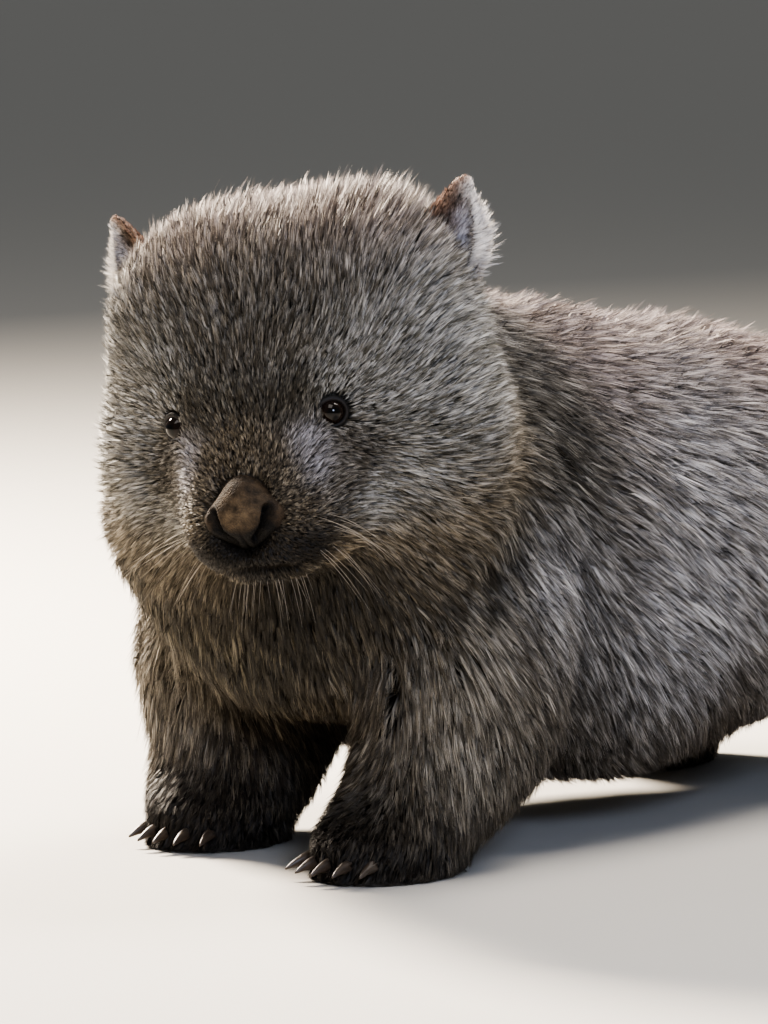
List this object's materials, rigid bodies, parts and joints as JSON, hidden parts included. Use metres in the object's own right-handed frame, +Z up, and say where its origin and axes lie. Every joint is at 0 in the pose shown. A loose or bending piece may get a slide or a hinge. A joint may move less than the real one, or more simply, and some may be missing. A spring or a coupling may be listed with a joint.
{
  "type": "common wombat",
  "caption": "Life-size common wombat standing on all fours, head raised and turned to its left, with a thick grey-brown coat; a still model",
  "frame": {"origin": "middle of the underside of the whole animal's bounding box, on the floor", "axes": "+Z up; the nose points towards -Y and the rump towards +Y, along the longest extent; +X is the animal's left"},
  "size_m": [0.318, 0.839, 0.4152],
  "materials": {
    "coat": "thick coarse grey-brown fur with pale tips",
    "foot_coat": "short near-black fur",
    "nose_skin": "naked, finely grained skin",
    "eye": "wet and glossy",
    "claw": "worn horn"
  },
  "bodies": {
    "root": {"head": "coat", "neck": "coat", "chest": "coat", "belly": "coat", "rump": "coat", "tail": "coat", "ear_left": "coat", "ear_right": "coat", "foreleg_left_upper": "coat", "foreleg_left_lower": "coat", "foreleg_right_upper": "coat", "foreleg_right_lower": "coat", "hindleg_left_upper": "coat", "hindleg_left_lower": "coat", "hindleg_right_upper": "coat", "hindleg_right_lower": "coat", "forefoot_left": "foot_coat", "forefoot_right": "foot_coat", "hindfoot_left": "foot_coat", "hindfoot_right": "foot_coat", "nose_pad": "nose_skin", "eye_left": "eye", "eye_right": "eye", "foreclaw_left_1": "claw", "foreclaw_left_2": "claw", "foreclaw_left_3": "claw", "foreclaw_left_4": "claw", "foreclaw_left_5": "claw", "foreclaw_right_1": "claw", "foreclaw_right_2": "claw", "foreclaw_right_3": "claw", "foreclaw_right_4": "claw", "foreclaw_right_5": "claw", "hindclaw_left_1": "claw", "hindclaw_left_2": "claw", "hindclaw_left_3": "claw", "hindclaw_left_4": "claw", "hindclaw_right_1": "claw", "hindclaw_right_2": "claw", "hindclaw_right_3": "claw", "hindclaw_right_4": "claw"}
  },
  "joints": []
}
